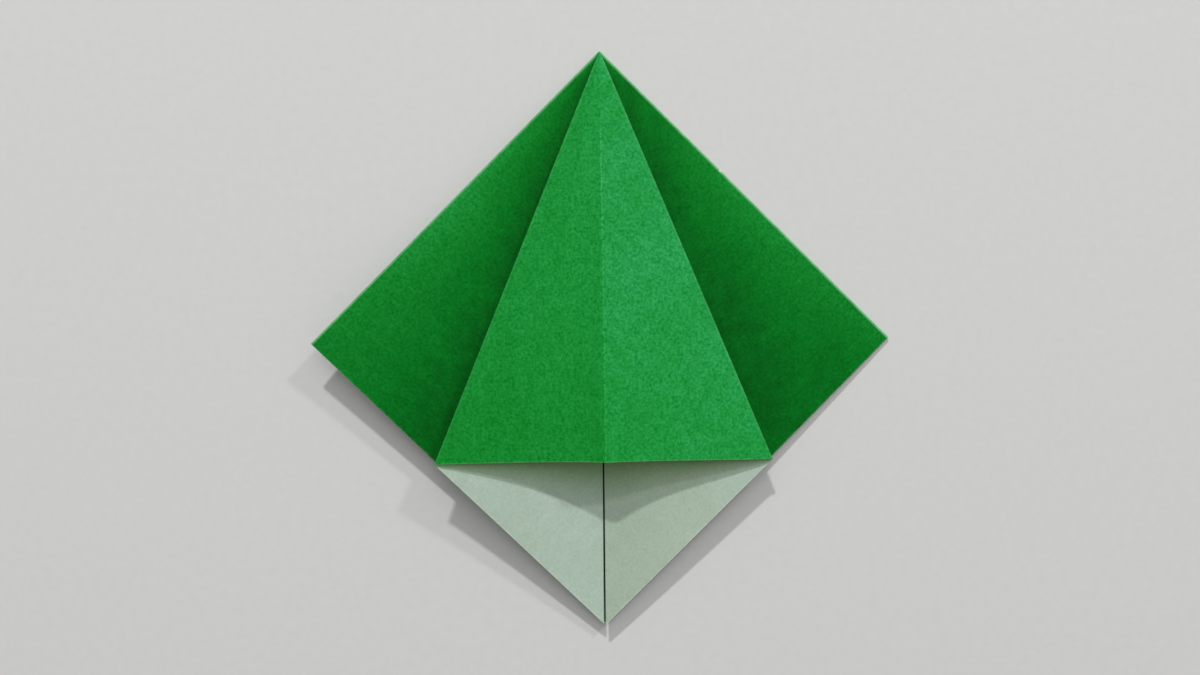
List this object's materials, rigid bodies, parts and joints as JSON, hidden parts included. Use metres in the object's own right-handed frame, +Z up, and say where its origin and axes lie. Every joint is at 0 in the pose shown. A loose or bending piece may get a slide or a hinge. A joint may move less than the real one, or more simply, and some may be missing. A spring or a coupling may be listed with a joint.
{
  "type": "squash-folded origami square base",
  "caption": "Square of thin two-sided paper folded into a flat square base, with one flap squashed into a raised kite over its open corner.",
  "frame": {"origin": "middle of the folded square, on the table face that it rests on", "axes": "+Z up from the table, +Y towards the closed point where all creases meet, +X towards the side with one flap"},
  "size_m": [0.106, 0.106, 0.0099],
  "materials": {
    "paper": "matte"
  },
  "bodies": {
    "root": {"folded_sheet": "paper"}
  },
  "joints": []
}
